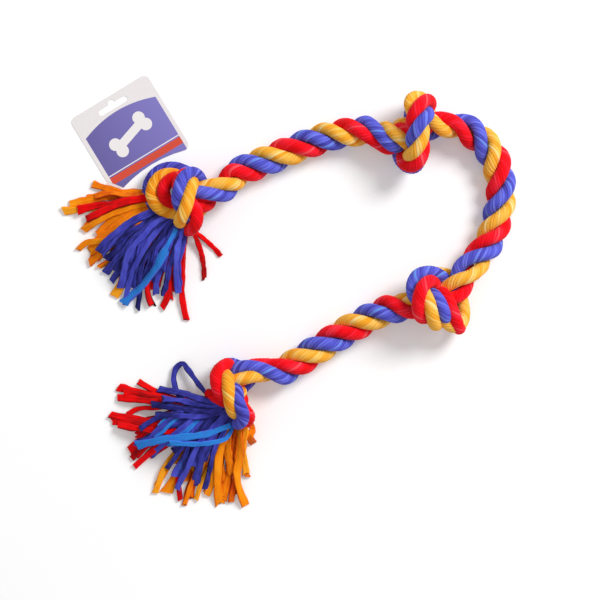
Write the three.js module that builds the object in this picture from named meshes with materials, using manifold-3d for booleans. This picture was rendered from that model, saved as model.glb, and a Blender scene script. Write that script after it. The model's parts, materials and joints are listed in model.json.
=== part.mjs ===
// Knotted rope dog toy: three fabric strands laid into a rope, four overhand knots,
// a tassel of cut strips at each end and a printed hang card. It lies on the plane z = 0.
import * as THREE from 'three';
import { mergeVertices } from 'three/addons/utils/BufferGeometryUtils.js';
import Module from 'manifold-3d';

// Driving dimensions of the rope, in millimetres
const strandDiameter = 12;
const knotStrandDiameter = 8.8;
const clearance = 0.3;
const layPitch = 62;
const squeezeLength = 18;
const knotLoop = 21.7;
const knotLift = 26;
const knotTurnWidth = 15;

// Driving dimensions of the tassels
const stripWidth = 7;
const stripThickness = 2.6;
const stripBow = 3;
const stripBite = 3;
const tasselReach = 104;
const lowTipHeight = 2.6;
const highTipHeight = 8.8;

// Driving dimensions of the hang card
const cardWidth = 86;
const cardHeight = 82;
const cardThickness = 0.6;
const cardCorner = 6;
const cardArch = 5;
const creaseAcross = 10.8;
const creaseDown = 14;
const cardAngle = 31.3;
const cardPlace = new THREE.Vector3(-167.4, 90.93, 0);
const slotLength = 31;
const slotHeight = 5.5;
const slotBump = 3.5;
const slotDrop = 10;
const tailWidth = 15;
const tailLead = 10;

// Fineness of the facets
const strandSides = 8;
const ringsPerTurn = 8;
const knotRingStep = 7.4;
const stripSteps = 4;

// Colours of the three strands, in the order in which their crowns follow along the rope
const colours = [
  { name: 'yellow', tint: 0xf5a73e },
  { name: 'red', tint: 0xf60a16 },
  { name: 'blue', tint: 0x565ece },
];
const fabricRoughness = 0.85;
const cardTint = 0x7f78c2;
const tailTint = 0xeee9e9;
const cardRoughness = 0.45;

const fullTurn = 2 * Math.PI;
const up = new THREE.Vector3(0, 0, 1);
const point = (x, y, z) => new THREE.Vector3(x, y, z);

// Route of the rope: necks and free spans as hand-chosen points, from the upper tassel to the lower one.
// crown is the length from a stretch's start at which the yellow strand lies on top.
const upperNeck = {
  tassel: 'upper',
  crown: layPitch / 3,
  points: [point(-130.7, 63.1, 16), point(-126.9, 66.9, 16), point(-123.1, 70.7, 16.5)],
};
const upperSpan = {
  halves: ['upper_span_left', 'upper_span_right'],
  crown: 64.2,
  points: [
    point(-68.4, 100.7, 22), point(-51.3, 109.3, 17), point(-22.8, 120.7, 12.1), point(5.7, 133, 12.1),
    point(34.2, 143.5, 12.1), point(62.7, 149.2, 17), point(86.5, 150.1, 22),
  ],
};
const bendSpan = {
  halves: ['bend_upper', 'bend_lower'],
  crown: 117.3,
  points: [
    point(152, 159.6, 22), point(164.4, 154.4, 18), point(179.6, 143, 14), point(191, 131.6, 12.1),
    point(198.6, 114.5, 12.1), point(201.9, 93.6, 12.1), point(200, 76.5, 12.1), point(195.2, 55.6, 12.1),
    point(186.2, 36.6, 16), point(176.7, 21.4, 22),
  ],
};
const lowerSpan = {
  halves: ['lower_span_right', 'lower_span_left'],
  crown: 103,
  points: [
    point(107.4, -16.2, 22), point(91.2, -20.9, 18), point(62.7, -35.6, 12.1), point(34.2, -53.2, 12.1),
    point(5.7, -71.7, 13), point(-10.5, -80.3, 17), point(-22.8, -86, 22),
  ],
};
const lowerNeck = {
  tassel: 'lower',
  crown: 9.7 + layPitch / 3,
  points: [point(-68, -105, 18), point(-71.5, -107.8, 17), point(-75.5, -111, 16.5)],
};
const spans = [upperNeck, upperSpan, bendSpan, lowerSpan, lowerNeck];

// Overhand knots between those stretches: where each sits, how its open loops are turned before they
// are pulled tight, and how many turns the lay gains or loses in it.
const knots = [
  { name: 'upper_end_knot', centre: point(-107.3, 85, 27), heading: 80, roll: 330, gain: -1 },
  { name: 'upper_mid_knot', centre: point(122.6, 148.7, 27), heading: 20, roll: 295, gain: 1 },
  { name: 'lower_mid_knot', centre: point(143.5, -8.1, 27), heading: -123, roll: 30, gain: -1 },
  { name: 'lower_end_knot', centre: point(-52.3, -101.2, 27), heading: -85, roll: 345, gain: 0 },
];

// Tassel strips: direction in degrees and length in millimetres of each tip, from the middle of its fan
const tassels = {
  upper: {
    fan: point(-128.2, 63.2, 0),
    yellow: [[151, 74], [158, 61], [173, 88], [186, 68], [200, 76], [215, 72], [242, 80]],
    red: [[268, 78], [276, 82], [288, 96], [311, 72], [333, 72]],
    blue: [[207, 58], [226, 67], [237, 70], [250, 83], [260, 82], [277, 70], [289, 71]],
  },
  lower: {
    fan: point(-78.9, -113.5, 0),
    yellow: [[238, 95], [247, 90], [257, 94], [271, 84], [283, 92], [291, 96], [306, 60]],
    red: [[159, 68], [167, 88], [176, 86], [187, 97], [194, 90], [209, 78], [221, 90]],
    blue: [[154, 50], [166, 48], [184, 50], [209, 75], [223, 70], [240, 70], [258, 80]],
  },
};

// Route of the card's tail past its lead, and its seat under the upper end knot
const tailRoute = [point(-158, 80.5, 0.8), point(-140, 77.5, 1.4)];
const tailSeat = point(-120.5, 76, 0);

const restDepth = (diameter) => diameter / 2 - diameter / 10;
const ease = (length) => THREE.MathUtils.smoothstep(length, 0, squeezeLength);

// Radius at which three strands of a given width touch when they are laid with the rope's pitch
function layRadius(width) {
  const rise = layPitch / fullTurn;
  let radius = width / Math.sqrt(3);
  for (let round = 0; round < 6; round += 1) {
    let nearest = Infinity;
    for (let turn = 0; turn < 1; turn += 0.01) {
      const across = 2 * radius * radius * (1 - Math.cos(turn - fullTurn / 3));
      nearest = Math.min(nearest, Math.hypot(Math.sqrt(across), turn * rise));
    }
    radius *= width / nearest;
  }
  return radius;
}

const freeLay = layRadius(strandDiameter + clearance);
const knotLay = layRadius(knotStrandDiameter + clearance);

// Points at even spacing along a smooth curve through the given points
function evenly(points, step) {
  const curve = new THREE.CatmullRomCurve3(points, false, 'centripetal');
  curve.arcLengthDivisions = points.length * 20;
  return curve.getSpacedPoints(Math.max(2, Math.round(curve.getLength() / step)));
}

// Length along a line of points, up to each of them
function lengths(points) {
  const total = [0];
  for (let i = 1; i < points.length; i += 1) {
    total.push(total[i - 1] + points[i].distanceTo(points[i - 1]));
  }
  return total;
}

// Direction of a line at each of its points
function directions(points) {
  const last = points.length - 1;
  return points.map((p, i) => {
    const ahead = points[Math.min(i + 1, last)];
    return ahead.clone().sub(points[Math.max(i - 1, 0)]).normalize();
  });
}

const square = (vector, direction) => vector.clone().addScaledVector(direction, -vector.dot(direction)).normalize();

// Normals that follow a line without turning about it, starting upwards
function steadyNormals(tangents) {
  const normals = [square(up, tangents[0])];
  for (let i = 1; i < tangents.length; i += 1) {
    const turn = new THREE.Quaternion().setFromUnitVectors(tangents[i - 1], tangents[i]);
    normals.push(square(normals[i - 1].clone().applyQuaternion(turn), tangents[i]));
  }
  return normals;
}

// Nearest points of two straight pieces, as their shares along each and the vector between them
function nearest(a0, a1, b0, b1) {
  const along = a1.clone().sub(a0);
  const across = b1.clone().sub(b0);
  const apart = a0.clone().sub(b0);
  const a = along.dot(along);
  const b = along.dot(across);
  const c = along.dot(apart);
  const e = across.dot(across);
  const f = across.dot(apart);
  const spread = a * e - b * b;
  const clamp = (value) => THREE.MathUtils.clamp(value, 0, 1);
  let s = spread > 1e-9 ? clamp((b * f - c * e) / spread) : 0.5;
  let t = (b * s + f) / e;
  if (t < 0) {
    t = 0;
    s = clamp(-c / a);
  } else if (t > 1) {
    t = 1;
    s = clamp((b - c) / a);
  }
  return { s, t, gap: apart.addScaledVector(along, s).addScaledVector(across, -t) };
}

// Pairs of straight pieces that lie close to each other and are not neighbours along one line
function closePairs(lines, skip) {
  const pieces = [];
  lines.forEach((line, index) => {
    const along = lengths(line.points);
    for (let i = 0; i + 1 < line.points.length; i += 1) {
      const middle = line.points[i].clone().lerp(line.points[i + 1], 0.5);
      const half = (along[i + 1] - along[i]) / 2;
      const room = Math.max(line.room[i], line.room[i + 1]);
      pieces.push({ line, index, i, middle, half, room, start: along[i], end: along[i + 1] });
    }
  });
  const pairs = [];
  pieces.forEach((first, n) => {
    for (let m = n + 1; m < pieces.length; m += 1) {
      const second = pieces[m];
      const distance = first.room + second.room;
      const near = first.middle.distanceTo(second.middle) < distance * 1.3 + first.half + second.half;
      const neighbours = first.index === second.index && second.start - first.end < skip * distance;
      if (near && !neighbours) {
        pairs.push({ first, second, distance });
      }
    }
  });
  return pairs;
}

// Pulls lines of points taut while they keep their room from each other and from the ground
function settle(lines, { rounds, pull, finish, sweeps, skip, relax, ground }) {
  let pairs = [];
  let worst = 0;
  for (let round = 0; round < rounds + finish; round += 1) {
    if (round % 8 === 0) {
      pairs = closePairs(lines, skip);
    }
    if (round < rounds) {
      lines.forEach((line) => tighten(line, pull));
    }
    for (let sweep = 0; sweep < sweeps; sweep += 1) {
      worst = 0;
      pairs.forEach((pair) => {
        worst = Math.max(worst, part(pair, relax));
      });
      lines.forEach((line) => {
        line.points.forEach((p, i) => {
          p.z = line.held[i] ? p.z : Math.max(p.z, ground);
        });
      });
    }
    if (round >= rounds && worst < 0.02) {
      break;
    }
  }
  return worst;
}

// One step of pulling a line taut between its held points
function tighten(line, pull) {
  const before = line.points.map((p) => p.clone());
  for (let i = 1; i + 1 < before.length; i += 1) {
    if (!line.held[i]) {
      line.points[i].lerp(before[i - 1].clone().lerp(before[i + 1], 0.5), pull);
    }
  }
}

// Moves two straight pieces apart where they are nearer than their room, and returns what was missing
function part({ first, second, distance }, relax) {
  const ends = [
    [first.line, first.i], [first.line, first.i + 1], [second.line, second.i], [second.line, second.i + 1],
  ];
  const [a0, a1, b0, b1] = ends.map(([line, i]) => line.points[i]);
  const { s, t, gap } = nearest(a0, a1, b0, b1);
  const apart = gap.length();
  if (apart >= distance || apart < 1e-6) {
    return 0;
  }
  const shares = [1 - s, s, t - 1, -t].map((share, n) => (ends[n][0].held[ends[n][1]] ? 0 : share));
  const sum = shares.reduce((total, share) => total + share * share, 0);
  if (sum < 1e-9) {
    return 0;
  }
  const push = ((distance - apart) / apart / Math.max(sum, 0.25)) * relax;
  [a0, a1, b0, b1].forEach((end, n) => end.addScaledVector(gap, push * shares[n]));
  return distance - apart;
}

// Three strands wound about a centre line; angleAt and radiusAt take the length along it
function wind(centre, normals, tangents, angleAt, radiusAt) {
  const along = lengths(centre);
  return colours.map((colour, k) => centre.map((p, i) => {
    const angle = angleAt(along[i], along[along.length - 1]) - (fullTurn * k) / colours.length;
    const reach = radiusAt(along[i], along[along.length - 1]);
    const side = tangents[i].clone().cross(normals[i]);
    return p.clone().addScaledVector(normals[i], reach * Math.cos(angle))
      .addScaledVector(side, reach * Math.sin(angle));
  }));
}

// A free span or neck: its strands lie on a plain helix, moved apart just as far as their facets need
function laySpan(span) {
  const centre = evenly(span.points, layPitch / ringsPerTurn);
  const tangents = directions(centre);
  const total = lengths(centre)[centre.length - 1];
  const phase = (length) => (fullTurn * (length - span.crown)) / layPitch;
  const strands = wind(centre, tangents.map((t) => square(up, t)), tangents, phase, () => freeLay);
  const lines = strands.map((points) => ({
    points,
    held: points.map(() => false),
    room: points.map(() => (strandDiameter + clearance) / 2),
  }));
  settle(lines, {
    rounds: 0, pull: 0, finish: 150, sweeps: 2, skip: 3, relax: 0.8, ground: restDepth(strandDiameter),
  });
  return { ...span, centre, strands, phaseIn: phase(0), phaseOut: phase(total) };
}

// Centre line of one overhand knot: open loops between the two stretches, pulled tight
function tie(knot, before, after) {
  const count = 40;
  const turn = new THREE.Matrix4().makeRotationZ(THREE.MathUtils.degToRad(knot.heading));
  turn.multiply(new THREE.Matrix4().makeRotationX(THREE.MathUtils.degToRad(knot.roll)));
  const loops = [];
  for (let i = 0; i <= count; i += 1) {
    const t = THREE.MathUtils.degToRad(510 - (300 * i) / count);
    const x = knotLoop * (Math.sin(t) + 2 * Math.sin(2 * t));
    const y = knotLoop * (2.75 + Math.cos(t) - 2 * Math.cos(2 * t));
    loops.push(point(x, y, knotLift * Math.sin(3 * t)).applyMatrix4(turn).add(knot.centre));
  }
  const ends = 3;
  const points = [...before.centre.slice(-ends), ...loops, ...after.centre.slice(0, ends)].map((p) => p.clone());
  const line = {
    points,
    held: points.map((p, i) => i < ends || i >= points.length - ends),
    room: points.map(() => knotTurnWidth / 2),
  };
  const pulling = { pull: 0.45, finish: 0, sweeps: 3, skip: 1.3, relax: 0.6 };
  settle([line], { ...pulling, rounds: 900, ground: -Infinity });
  settle([line], { ...pulling, rounds: 200, ground: strandDiameter });
  return points.slice(ends - 1, points.length - ends + 1);
}

// Strands of one knot between the two stretches, squeezed where the knot is pulled tight
function layKnot(knot, before, after) {
  const centre = evenly(tie(knot, before, after), knotRingStep);
  const tangents = directions(centre);
  const normals = steadyNormals(tangents);
  const last = centre.length - 1;
  const total = lengths(centre)[last];
  const upright = square(up, tangents[last]);
  const drift = Math.atan2(normals[last].clone().cross(upright).dot(tangents[last]), normals[last].dot(upright));
  const wanted = after.phaseIn - before.phaseOut + drift;
  const whole = Math.round(total / layPitch - wanted / fullTurn) + knot.gain;
  const twist = wanted + fullTurn * whole;
  const squeeze = (length) => ease(Math.min(length, total - length));
  const strands = wind(
    centre,
    normals,
    tangents,
    (length) => before.phaseOut + (twist * length) / total,
    (length) => THREE.MathUtils.lerp(freeLay, knotLay, squeeze(length)),
  );
  const along = lengths(centre);
  const radii = along.map((length) => THREE.MathUtils.lerp(strandDiameter, knotStrandDiameter, squeeze(length)) / 2);
  const kept = 4;
  const lines = strands.map((strand, k) => {
    const lead = before.strands[k].slice(-kept);
    const trail = after.strands[k].slice(0, kept);
    const inner = strand.slice(1, -1);
    const free = strandDiameter / 2;
    const widths = [...lead.map(() => free), ...radii.slice(1, -1), ...trail.map(() => free)];
    return {
      points: [...lead, ...inner, ...trail],
      held: [...lead.map(() => true), ...inner.map(() => false), ...trail.map(() => true)],
      room: widths.map((width) => width + clearance / 2),
    };
  });
  const missing = settle(lines, {
    rounds: 40, pull: 0.06, finish: 200, sweeps: 4, skip: 1.5, relax: 0.8, ground: restDepth(knotStrandDiameter),
  });
  console.log(`${knot.name}: least gap between strands ${(clearance - missing).toFixed(2)} mm`);
  return { ...knot, radii: radii.slice(1, -1), strands: strands.map((strand) => strand.slice(1, -1)) };
}

// One strand from tassel to tassel, with the stretch of it that each piece takes up
function wholeStrand(k, laidSpans, laidKnots) {
  const points = [];
  const radii = [];
  const stretches = [];
  laidSpans.forEach((span, n) => {
    const first = points.length;
    points.push(...span.strands[k]);
    radii.push(...span.strands[k].map(() => strandDiameter / 2));
    const last = points.length - 1;
    if (span.halves) {
      const middle = Math.round((first + last) / 2);
      stretches.push({ name: span.halves[0], first, last: middle });
      stretches.push({ name: span.halves[1], first: middle, last });
    } else {
      stretches.push({ name: span.tassel, tassel: true, first, last });
    }
    const knot = laidKnots[n];
    if (knot) {
      points.push(...knot.strands[k]);
      radii.push(...knot.radii);
      stretches.push({ name: knot.name, first: last, last: points.length });
    }
  });
  const tangents = directions(points);
  return { points, radii, stretches, tangents, normals: steadyNormals(tangents) };
}

// Closed tube over a stretch of a strand, its ends drawn back from the next stretch by half the clearance
function strandTube(strand, { first, last }) {
  const positions = [];
  const faces = [];
  for (let i = first; i <= last; i += 1) {
    const tangent = strand.tangents[i];
    const side = tangent.clone().cross(strand.normals[i]);
    const inward = Number(i === first && i > 0) - Number(i === last && i < strand.points.length - 1);
    const centre = strand.points[i].clone().addScaledVector(tangent, (inward * clearance) / 2);
    for (let n = 0; n < strandSides; n += 1) {
      const angle = (fullTurn * n) / strandSides;
      const corner = centre.clone().addScaledVector(strand.normals[i], strand.radii[i] * Math.cos(angle));
      corner.addScaledVector(side, strand.radii[i] * Math.sin(angle));
      positions.push(corner.x, corner.y, Math.max(corner.z, 0));
    }
  }
  const rings = last - first;
  for (let ring = 0; ring < rings; ring += 1) {
    for (let n = 0; n < strandSides; n += 1) {
      const a = ring * strandSides + n;
      const b = ring * strandSides + ((n + 1) % strandSides);
      faces.push(a, b, b + strandSides, a, b + strandSides, a + strandSides);
    }
  }
  const end = rings * strandSides;
  for (let n = 1; n + 1 < strandSides; n += 1) {
    faces.push(0, n + 1, n, end, end + n, end + n + 1);
  }
  const geometry = new THREE.BufferGeometry();
  geometry.setAttribute('position', new THREE.Float32BufferAttribute(positions, 3));
  geometry.setIndex(faces);
  return geometry;
}

// Curve whose swept section keeps its width level
class LevelCurve extends THREE.CatmullRomCurve3 {
  computeFrenetFrames(segments) {
    const tangents = [];
    const normals = [];
    const binormals = [];
    for (let i = 0; i <= segments; i += 1) {
      const tangent = this.getTangentAt(i / segments);
      const normal = tangent.clone().cross(up).normalize();
      tangents.push(tangent);
      normals.push(normal);
      binormals.push(tangent.clone().cross(normal));
    }
    return { tangents, normals, binormals };
  }
}

// Flat band swept along a route
function band(route, width, thickness, steps) {
  const section = new THREE.Shape();
  section.moveTo(-width / 2, -thickness / 2);
  section.lineTo(width / 2, -thickness / 2);
  section.lineTo(width / 2, thickness / 2);
  section.lineTo(-width / 2, thickness / 2);
  section.closePath();
  const curve = new LevelCurve(route, false, 'centripetal');
  return new THREE.ExtrudeGeometry(section, { steps, extrudePath: curve, bevelEnabled: false });
}

const wasm = await Module();
wasm.setup();

// Closed solid of a geometry, for joining
function solidOf(geometry) {
  const bare = geometry.clone();
  bare.deleteAttribute('normal');
  bare.deleteAttribute('uv');
  const merged = mergeVertices(bare, 1e-4);
  const mesh = new wasm.Mesh({
    numProp: 3,
    vertProperties: new Float32Array(merged.attributes.position.array),
    triVerts: new Uint32Array(merged.index.array),
  });
  return new wasm.Manifold(mesh);
}

// Geometry of a joined solid
function geometryOf(solid) {
  const mesh = solid.getMesh();
  const geometry = new THREE.BufferGeometry();
  geometry.setAttribute('position', new THREE.BufferAttribute(new Float32Array(mesh.vertProperties), 3));
  geometry.setIndex(new THREE.BufferAttribute(new Uint32Array(mesh.triVerts), 1));
  return geometry;
}

// One colour of a tassel: the strand's end with its fabric strips fanned out from it
function tasselPart(strand, stretch, fan, tips, tipHeight) {
  const outer = stretch.first === 0 ? stretch.first : stretch.last;
  const root = strand.points[outer];
  const outward = strand.tangents[outer].clone().multiplyScalar(stretch.first === 0 ? -1 : 1);
  let solid = solidOf(strandTube(strand, stretch));
  tips.forEach(([direction, length], n) => {
    const angle = THREE.MathUtils.degToRad(direction);
    const tip = point(fan.x + length * Math.cos(angle), fan.y + length * Math.sin(angle), 0);
    const run = point(tip.x - root.x, tip.y - root.y, 0);
    const bow = run.clone().cross(up).normalize().multiplyScalar(n % 2 === 0 ? stripBow : -stripBow);
    const route = [root.clone().addScaledVector(outward, -stripBite)];
    [0.2, 0.6, 1].forEach((share) => {
      const fall = (1 - (share * run.length()) / tasselReach) ** 1.8;
      const spot = root.clone().addScaledVector(run, share).addScaledVector(bow, Math.sin(Math.PI * share));
      spot.z = tipHeight + (root.z - tipHeight) * fall;
      route.push(spot);
    });
    solid = solid.add(solidOf(band(route, stripWidth, stripThickness, stripSteps)));
  });
  return geometryOf(solid);
}

// Outline of the hang card, measured from its lower left, where its crease cuts the corner off
function cardShape() {
  const shape = new THREE.Shape();
  const quarter = Math.PI / 2;
  shape.moveTo(0, creaseDown);
  shape.lineTo(0, cardHeight - cardCorner);
  shape.absarc(cardCorner, cardHeight - cardCorner, cardCorner, 2 * quarter, quarter, true);
  shape.lineTo(cardWidth - cardCorner, cardHeight);
  shape.absarc(cardWidth - cardCorner, cardHeight - cardCorner, cardCorner, quarter, 0, true);
  shape.lineTo(cardWidth, cardCorner);
  shape.absarc(cardWidth - cardCorner, cardCorner, cardCorner, 0, -quarter, true);
  const archMiddle = (cardWidth - cardCorner + creaseAcross) / 2;
  shape.quadraticCurveTo(archMiddle, 2 * cardArch, creaseAcross, 0);
  shape.closePath();
  const slot = new THREE.Path();
  const half = slotHeight / 2;
  const run = slotLength / 2 - half;
  const middle = cardWidth / 2;
  const level = cardHeight - slotDrop;
  slot.moveTo(middle - run, level - half);
  slot.lineTo(middle + run, level - half);
  slot.absarc(middle + run, level, half, -quarter, quarter, false);
  slot.lineTo(middle + slotBump, level + half);
  slot.absarc(middle, level + half, slotBump, 0, 2 * quarter, false);
  slot.lineTo(middle - run, level + half);
  slot.absarc(middle - run, level, half, quarter, 3 * quarter, false);
  shape.holes.push(slot);
  return shape;
}

const toy = new THREE.Group();

// Lowest height of the upper end knot close to a place
function undersideNear(place, reach) {
  let low = Infinity;
  toy.children.filter((piece) => piece.name.endsWith('upper_end_knot')).forEach((piece) => {
    const corners = piece.geometry.attributes.position;
    for (let i = 0; i < corners.count; i += 1) {
      const away = Math.hypot(corners.getX(i) - place.x, corners.getY(i) - place.y);
      low = away < reach ? Math.min(low, corners.getZ(i)) : low;
    }
  });
  return low;
}

// Adds one named piece to a group
function addPiece(group, name, geometry, tint, roughness) {
  const material = new THREE.MeshStandardMaterial({ color: tint, roughness, metalness: 0 });
  const piece = new THREE.Mesh(geometry, material);
  piece.name = name;
  group.add(piece);
  return piece;
}

// Rope, knots and tassels
const laidSpans = spans.map(laySpan);
const laidKnots = knots.map((knot, n) => layKnot(knot, laidSpans[n], laidSpans[n + 1]));
colours.forEach((colour, k) => {
  const strand = wholeStrand(k, laidSpans, laidKnots);
  strand.stretches.forEach((stretch) => {
    if (stretch.tassel) {
      const tassel = tassels[stretch.name];
      const height = colour.name === 'blue' ? highTipHeight : lowTipHeight;
      const geometry = tasselPart(strand, stretch, tassel.fan, tassel[colour.name], height);
      addPiece(toy, `${colour.name}_tassel_${stretch.name}`, geometry, colour.tint, fabricRoughness);
    } else {
      const geometry = strandTube(strand, stretch);
      addPiece(toy, `${colour.name}_strand_${stretch.name}`, geometry, colour.tint, fabricRoughness);
    }
  });
});

// Hang card and its tail
const cardFrame = new THREE.Group();
cardFrame.position.copy(cardPlace);
cardFrame.rotation.z = THREE.MathUtils.degToRad(cardAngle);
toy.add(cardFrame);
const cardSettings = { depth: cardThickness, bevelEnabled: false, curveSegments: 6 };
addPiece(cardFrame, 'hang_card', new THREE.ExtrudeGeometry(cardShape(), cardSettings), cardTint, cardRoughness);
toy.updateMatrixWorld(true);
const creaseMiddle = cardFrame.localToWorld(point(creaseAcross / 2, creaseDown / 2, cardThickness / 2));
const creaseOut = point(-creaseDown, -creaseAcross, 0).normalize().applyQuaternion(cardFrame.quaternion);
const tailStart = creaseMiddle.addScaledVector(creaseOut, clearance);
tailSeat.z = undersideNear(tailSeat, (tailWidth * 2) / 3) - clearance - cardThickness / 2;
const tailTurn = tailStart.clone().addScaledVector(creaseOut, tailLead);
tailTurn.z = cardThickness;
const tail = band([tailStart, tailTurn, ...tailRoute, tailSeat], tailWidth, cardThickness, 8);
addPiece(toy, 'card_tail', tail, tailTint, cardRoughness);

export default toy;
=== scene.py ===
"""Looks of a knotted rope dog toy: three twisted fabric strands, two tassels and a hang card."""

import json
import logging
import math
from collections.abc import Mapping, Sequence
from dataclasses import dataclass
from enum import Enum

import bmesh
import bpy
import numpy as np
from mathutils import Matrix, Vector


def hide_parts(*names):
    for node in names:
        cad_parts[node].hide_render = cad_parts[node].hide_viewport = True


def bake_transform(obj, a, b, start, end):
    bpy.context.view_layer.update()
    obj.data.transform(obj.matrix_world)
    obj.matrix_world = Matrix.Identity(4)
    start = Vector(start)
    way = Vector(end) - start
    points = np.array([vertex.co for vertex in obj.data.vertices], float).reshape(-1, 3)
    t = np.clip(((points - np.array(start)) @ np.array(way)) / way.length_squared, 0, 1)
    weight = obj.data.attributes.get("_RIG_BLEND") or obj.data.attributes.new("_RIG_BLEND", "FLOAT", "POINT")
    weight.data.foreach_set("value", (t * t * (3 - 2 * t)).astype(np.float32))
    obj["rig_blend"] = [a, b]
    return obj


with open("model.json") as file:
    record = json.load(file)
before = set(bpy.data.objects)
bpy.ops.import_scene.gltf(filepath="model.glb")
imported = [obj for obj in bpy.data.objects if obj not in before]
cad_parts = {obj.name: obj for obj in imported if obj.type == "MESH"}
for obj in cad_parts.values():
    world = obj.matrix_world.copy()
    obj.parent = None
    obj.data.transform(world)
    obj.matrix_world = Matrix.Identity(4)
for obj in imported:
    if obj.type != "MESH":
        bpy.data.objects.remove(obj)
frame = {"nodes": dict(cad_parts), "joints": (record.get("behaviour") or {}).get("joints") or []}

logging.basicConfig(level=logging.INFO, format="%(name)s: %(message)s")
LOG = logging.getLogger("rope_toy")

Plan = tuple[float, float]
Range = tuple[float, float]
Rgba = tuple[float, float, float, float]

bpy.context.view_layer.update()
MM = 0.001
FLOOR_GAP = 0.0003
SEAM_WELD = 1e-7
FINE_STEPS = 12
WHITE = (1.0, 1.0, 1.0, 1.0)

# The CAD tubes: their sides, and how their loose triangles are joined into rings again
TUBE_SIDES = 8
TUBE_WELD = 1e-6
TUBE_FLATNESS = 0.002
TUBE_UNDERSIDE = 1e-4

# A Mix node's colour sockets go by number, because its socket names repeat
MIX_FIRST = 6
MIX_SECOND = 7
MIX_RESULT = 2


class Colour(Enum):
    """The three colours of the strands; the value is the start of a node's name."""

    YELLOW = "yellow"
    RED = "red"
    BLUE = "blue"


class Wire:
    """A shader socket that takes part in arithmetic, each step of which adds a Math node."""

    def __init__(self, graph: "Graph", socket: bpy.types.NodeSocket) -> None:
        """Keeps an output socket and the node tree that it belongs to."""
        self.graph = graph
        self.socket = socket

    def _math(self, operation: str, first: "Wire | float", second: "Wire | float" = 0.0) -> "Wire":
        """Adds one Math node and gives its value."""
        return self.graph.node("ShaderNodeMath", {"operation": operation}, {0: first, 1: second})

    def __add__(self, other: "Wire | float") -> "Wire":
        """Adds a value."""
        return self._math("ADD", self, other)

    def __radd__(self, other: float) -> "Wire":
        """Adds this to a number."""
        return self._math("ADD", other, self)

    def __sub__(self, other: "Wire | float") -> "Wire":
        """Takes a value away."""
        return self._math("SUBTRACT", self, other)

    def __rsub__(self, other: float) -> "Wire":
        """Takes this away from a number."""
        return self._math("SUBTRACT", other, self)

    def __mul__(self, other: "Wire | float") -> "Wire":
        """Multiplies by a value."""
        return self._math("MULTIPLY", self, other)

    def __rmul__(self, other: float) -> "Wire":
        """Multiplies a number by this."""
        return self._math("MULTIPLY", other, self)

    def __pow__(self, other: "Wire | float") -> "Wire":
        """Raises this to a power."""
        return self._math("POWER", self, other)

    def __lt__(self, other: "Wire | float") -> "Wire":
        """Gives 1 where this is less, and 0 elsewhere."""
        return self._math("LESS_THAN", self, other)

    def __gt__(self, other: "Wire | float") -> "Wire":
        """Gives 1 where this is greater, and 0 elsewhere."""
        return self._math("GREATER_THAN", self, other)

    def __or__(self, other: "Wire | float") -> "Wire":
        """Gives the greater value, which joins two masks."""
        return self._math("MAXIMUM", self, other)

    def __abs__(self) -> "Wire":
        """Drops the sign."""
        return self._math("ABSOLUTE", self)


class Graph:
    """The node tree of one new material."""

    def __init__(self, name: str) -> None:
        """Makes an empty material.

        Args:
            name: the material's name.
        """
        self.material = bpy.data.materials.new(name)
        self.material.use_nodes = True
        self.tree = self.material.node_tree
        self.tree.nodes.clear()

    def node(
        self,
        kind: str,
        settings: Mapping[str, object] | None = None,
        inputs: Mapping[int | str, object] | None = None,
        output: int | str = 0,
    ) -> Wire:
        """Adds a node.

        Args:
            kind: the node's type name.
            settings: values of the node's own properties.
            inputs: values or wires of its input sockets, by name or number.
            output: the output socket to hand back.
        Returns:
            The chosen output.
        """
        made = self.tree.nodes.new(kind)
        for key, value in (settings or {}).items():
            if key == "stops":
                self._ramp(made.color_ramp, value)
            else:
                setattr(made, key, value)
        for key, value in (inputs or {}).items():
            if isinstance(value, Wire):
                self.tree.links.new(value.socket, made.inputs[key])
            else:
                made.inputs[key].default_value = value
        return Wire(self, made.outputs[output])

    @staticmethod
    def _ramp(ramp: bpy.types.ColorRamp, stops: Sequence[tuple[float, Rgba]]) -> None:
        """Sets a ramp's colours.

        Args:
            ramp: a new ramp, which has two stops.
            stops: each stop's place and colour.
        """
        for _ in range(len(stops) - 2):
            ramp.elements.new(0.5)
        for element, (place, colour) in zip(ramp.elements, stops):
            element.position = place
            element.color = colour

    def mix(self, factor: Wire | float, first: Wire | Rgba, second: Wire | Rgba) -> Wire:
        """Mixes two colours: a factor of 0 gives the first and 1 the second."""
        inputs = {"Factor": factor, MIX_FIRST: first, MIX_SECOND: second}
        return self.node("ShaderNodeMix", {"data_type": "RGBA"}, inputs, MIX_RESULT)

    def finish(self, sockets: Mapping[str, object]) -> bpy.types.Material:
        """Ends the tree in a principled surface, from the values or wires of its sockets."""
        return self.end(self.node("ShaderNodeBsdfPrincipled", None, sockets))

    def end(self, shader: Wire) -> bpy.types.Material:
        """Ends the tree in the material's output.

        Args:
            shader: the surface.
        Returns:
            The finished material.
        """
        made = self.tree.nodes.new("ShaderNodeOutputMaterial")
        self.tree.links.new(shader.socket, made.inputs["Surface"])
        return self.material


def linear(value: int) -> float:
    """Turns one display value, from 0 to 255, into a linear one by the standard curve."""
    part = value / 255
    return part / 12.92 if part <= 0.04045 else ((part + 0.055) / 1.055) ** 2.4


def srgb(red: int, green: int, blue: int) -> Rgba:
    """Turns a display colour into the linear one, with an alpha of 1, that a socket takes."""
    return (linear(red), linear(green), linear(blue), 1.0)


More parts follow.
